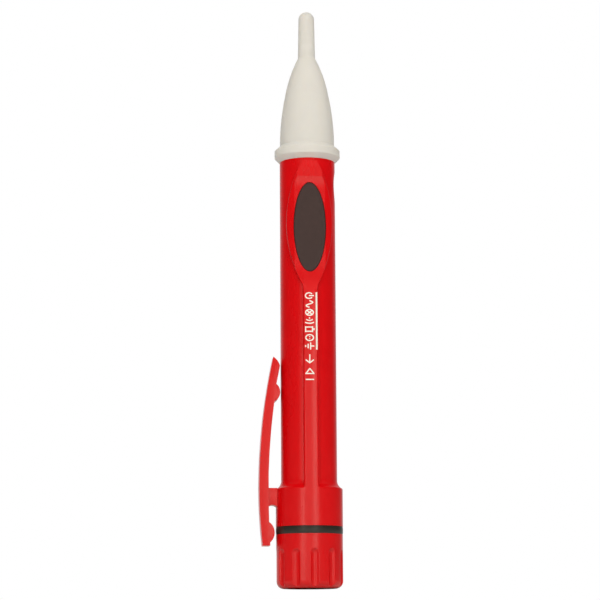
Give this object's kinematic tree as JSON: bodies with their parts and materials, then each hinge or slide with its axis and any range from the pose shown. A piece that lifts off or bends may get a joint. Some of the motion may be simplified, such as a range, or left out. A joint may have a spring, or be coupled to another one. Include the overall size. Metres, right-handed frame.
{
  "type": "non contact voltage tester",
  "caption": "Pen-shaped non contact voltage tester with pale sensing tip, oval push pad, pocket clip and fluted screw cap over its cells.",
  "frame": {"origin": "centre of the end cap's flat end face", "axes": "+Z along the pen towards the sensing tip, -Y is the push pad's side, -X is the pocket clip's side"},
  "size_m": [0.025, 0.02, 0.176],
  "materials": {
    "red_housing": "satin moulded",
    "red_cap": "satin moulded",
    "red_clip": "satin moulded",
    "tip_plastic": "translucent satin",
    "pad_rubber": "matt",
    "seal_rubber": "satin",
    "carrier_plastic": "moulded",
    "cell_filling": "pressed powder",
    "cell_steel": "nickel plated",
    "cell_wrap": "printed film",
    "cell_gasket": "pressed card",
    "contact_metal": "nickel on brass",
    "spring_steel": "plated wire",
    "board_laminate": "solder mask",
    "component_black": "moulded",
    "component_tan": "ceramic",
    "solder_tin": "tinned",
    "switch_plunger": "moulded",
    "red_lens": "clear red",
    "clear_lens": "clear"
  },
  "bodies": {
    "barrel": {"barrel": "red_housing", "sensor_tip": "tip_plastic", "neck_seal_ring": "seal_rubber", "tip_seal_ring": "seal_rubber", "inner_carrier": "carrier_plastic", "rear_cell_filling": "cell_filling", "front_cell_filling": "cell_filling", "rear_cell_can": "cell_steel", "rear_cell_base": "cell_steel", "front_cell_can": "cell_steel", "front_cell_base": "cell_steel", "rear_cell_wrap": "cell_wrap", "front_cell_wrap": "cell_wrap", "rear_cell_gasket": "cell_gasket", "front_cell_gasket": "cell_gasket", "contact_strip": "contact_metal", "front_contact": "contact_metal", "antenna": "contact_metal", "circuit_board": "board_laminate", "controller_chip": "component_black", "transistor": "component_black", "chip_resistors": "component_black", "switch_body": "component_black", "buzzer": "component_black", "chip_capacitors": "component_tan", "chip_pins": "solder_tin", "lamp_leads": "solder_tin", "switch_cover": "solder_tin", "red_led": "red_lens", "white_led": "clear_lens"},
    "push_pad": {"push_pad": "pad_rubber", "switch_plunger": "switch_plunger"},
    "clip": {"clip": "red_clip"},
    "cap_contact": {"contact_disc": "contact_metal", "battery_spring": "spring_steel"},
    "end_cap": {"end_cap": "red_cap"}
  },
  "joints": [
    {"name": "pad_press", "type": "slide", "parent": "barrel", "child": "push_pad", "axis": [0, 1, 0], "range_m": [0, 0.0005], "stiffness_N_per_m": 4000},
    {"name": "clip_flex", "type": "hinge", "parent": "barrel", "child": "clip", "pos_m": [-0.01, 0, 0.0242], "axis": [0, -1, 0], "range_deg": [0, 2.6], "stiffness_Nm_per_rad": 5},
    {"name": "cap_travel", "type": "slide", "parent": "barrel", "child": "cap_contact", "axis": [0, 0, -1], "range_m": [0, 0.0061], "deforming": ["battery_spring"]},
    {"name": "cap_turn", "type": "hinge", "parent": "cap_contact", "child": "end_cap", "pos_m": [0, 0, 0], "axis": [0, 0, -1], "range_deg": [0, 1080]}
  ],
  "couplings": [
    {"joint": "cap_travel", "follows": "cap_turn", "m_per_rad": 0.00031831}
  ]
}
